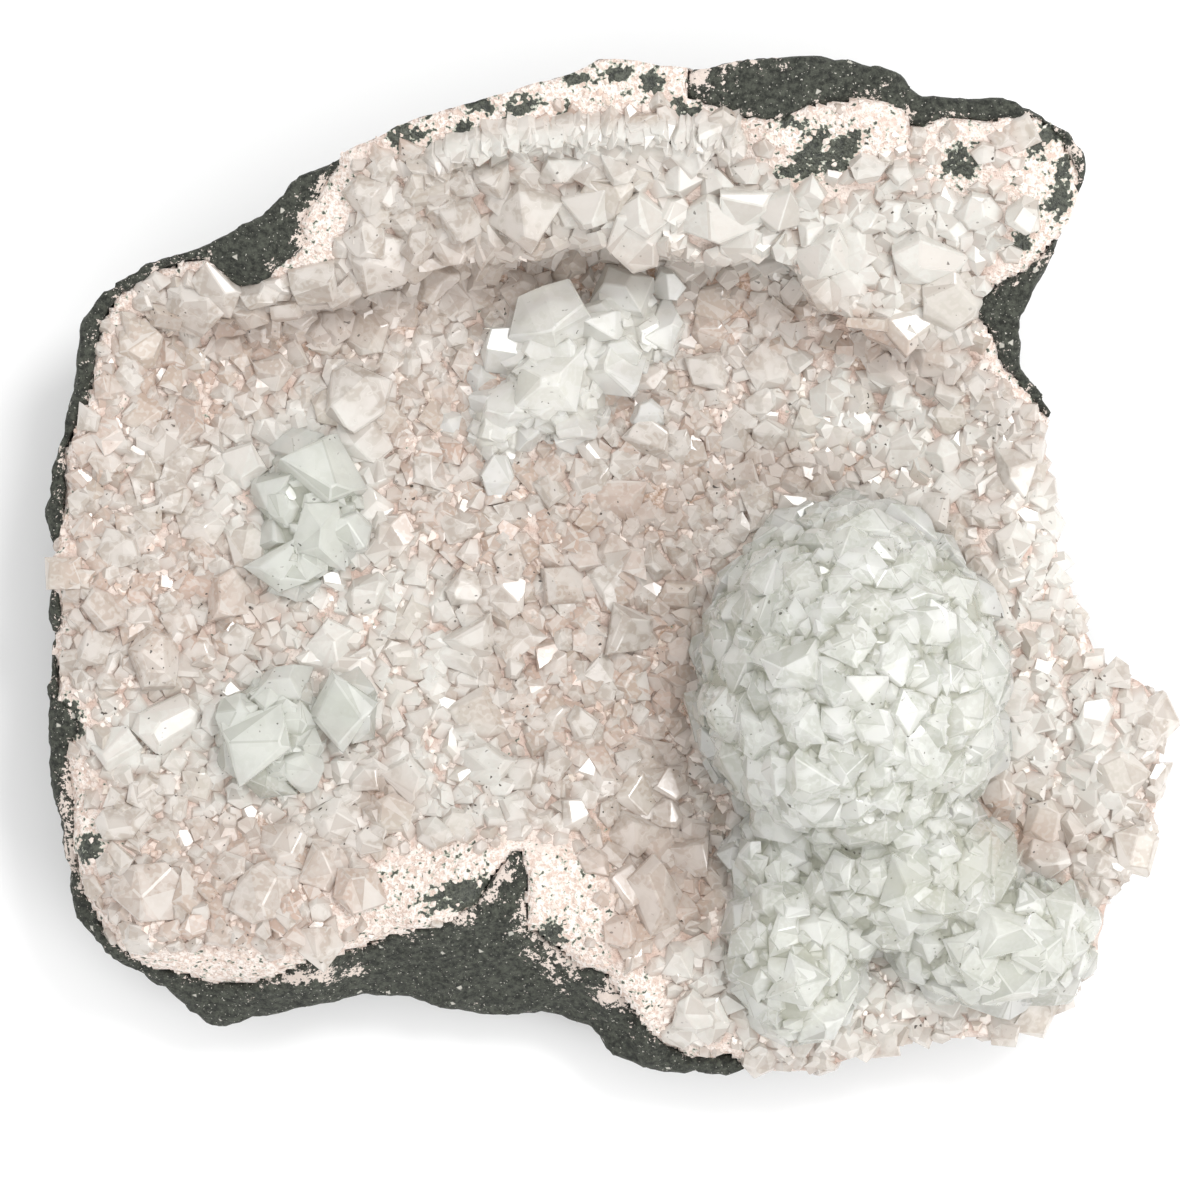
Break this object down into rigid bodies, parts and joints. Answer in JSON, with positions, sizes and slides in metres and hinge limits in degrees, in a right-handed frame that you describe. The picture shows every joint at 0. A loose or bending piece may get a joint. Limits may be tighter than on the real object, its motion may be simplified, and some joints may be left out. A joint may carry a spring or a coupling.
{
  "type": "apophyllite geode",
  "caption": "Open half of a basalt geode lying on its cut face, its hollow lined with pale pink druse and green and white apophyllite clusters.",
  "frame": {"origin": "middle of the bounding box at the height of the flat cut face that the geode rests on", "axes": "+X to the right and +Y up as one looks straight down into the open hollow, +Z up out of the hollow, away from the cut face"},
  "size_m": [0.393, 0.354, 0.1132],
  "materials": {
    "basalt": "rough broken basalt, dark grey-green with fine pale specks",
    "pink_druse": "fine sparkling druse, translucent pale pink",
    "green_apophyllite": "natural crystal faces, translucent pale green",
    "white_apophyllite": "natural crystal faces, translucent white",
    "grey_green_apophyllite": "natural crystal faces, translucent grey-green"
  },
  "bodies": {
    "root": {"basalt_matrix": "basalt", "crystal_crust": "pink_druse", "green_apophyllite_cluster": "green_apophyllite", "white_apophyllite_cluster": "white_apophyllite", "ridge_apophyllite_cluster": "grey_green_apophyllite", "round_apophyllite_cluster": "grey_green_apophyllite"}
  },
  "joints": []
}
